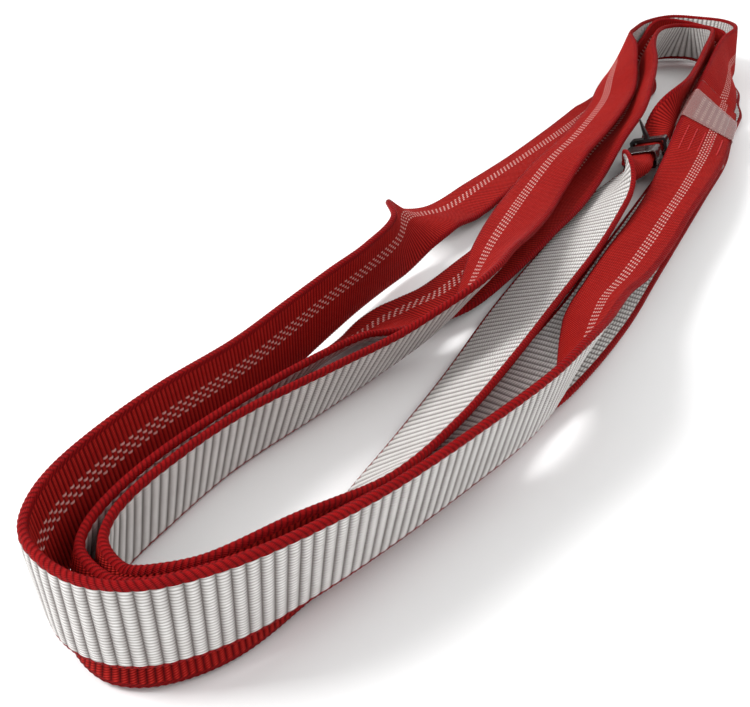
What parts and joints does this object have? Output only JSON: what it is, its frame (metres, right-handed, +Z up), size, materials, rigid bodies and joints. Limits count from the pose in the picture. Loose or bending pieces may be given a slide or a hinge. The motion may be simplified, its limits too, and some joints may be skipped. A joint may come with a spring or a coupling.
{
  "type": "flat web sling",
  "caption": "Endless flat woven web sling with a sewn lap, laid down in long loops, with a small sliding keeper band round one pinched strand.",
  "frame": {"origin": "middle of the outline in plan, at floor level", "axes": "+Z up, the strands run along +Y from the near eye to the far eye"},
  "size_m": [0.1051, 0.5165, 0.0331],
  "materials": {
    "web": "woven",
    "sealed_end": "melted",
    "thread": "twisted",
    "label": "smooth",
    "clear_film": "clear",
    "dark_film": "satin",
    "band": "smooth"
  },
  "bodies": {
    "sling": {"web_lap_under": "web", "web_far_outer_turn": "web", "web_left_upper_run": "web", "web_near_inner_turn": "web", "web_middle_run": "web", "web_middle_pinch": "web", "web_far_inner_turn": "web", "web_left_inner_run": "web", "web_near_middle_turn": "web", "web_right_lower_run": "web", "web_right_floor_stretch": "web", "web_right_far_run": "web", "web_far_third_turn": "web", "web_left_outer_run": "web", "web_near_outer_turn": "web", "web_right_outer_run": "web", "web_lap_over": "web", "web_end_seal_upper": "sealed_end", "web_end_seal_lower": "sealed_end", "lap_stitches_upper": "thread", "lap_stitches_lower": "thread", "label_panel": "label", "label_sleeve": "clear_film", "keeper_sleeve": "dark_film"},
    "keeper": {"keeper_band": "band"}
  },
  "joints": [
    {"name": "keeper_slide", "type": "slide", "parent": "sling", "child": "keeper", "axis": [0, 1, 0], "range_m": [-0.005, 0.005]}
  ]
}
